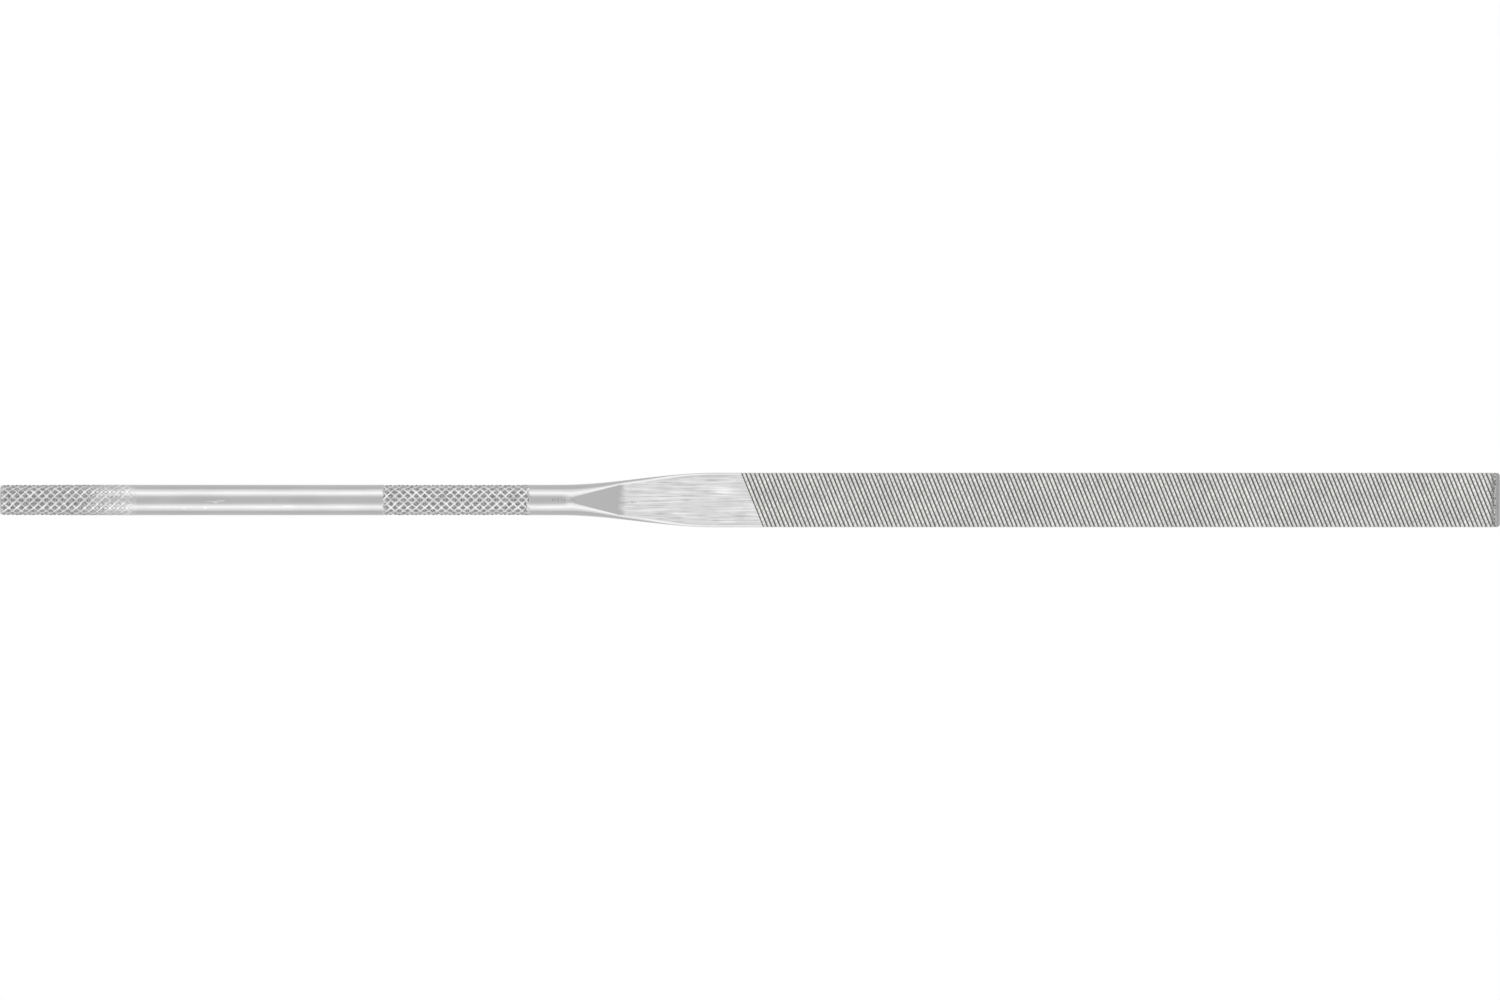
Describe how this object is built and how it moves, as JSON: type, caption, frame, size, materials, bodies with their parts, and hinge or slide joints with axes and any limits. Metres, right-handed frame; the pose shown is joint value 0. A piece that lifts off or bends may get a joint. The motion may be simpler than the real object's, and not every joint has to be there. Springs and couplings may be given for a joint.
{
  "type": "flat file",
  "caption": "Slim parallel flat file with a round knurled handle, forged and ground into a double-cut blade with a bare bevelled point.",
  "frame": {"origin": "middle of the bounding box at the height of the lowest line of the round handle", "axes": "+X from the tail of the handle to the point of the blade, +Y across the blade, +Z out of its upper broad face"},
  "size_m": [0.215, 0.0078, 0.0044],
  "materials": {
    "knurled_steel": "satin, rolled diamond knurl",
    "shank_steel": "satin, drawn round bar",
    "ground_steel": "ground along its length",
    "cut_steel": "bare hardened steel with chisel-cut teeth"
  },
  "bodies": {
    "root": {"rear_knurl": "knurled_steel", "plain_shank": "shank_steel", "front_knurl": "knurled_steel", "neck": "shank_steel", "shoulder": "shank_steel", "heel": "ground_steel", "blade_core": "ground_steel", "upper_cut": "cut_steel", "lower_cut": "cut_steel", "point": "ground_steel"}
  },
  "joints": []
}
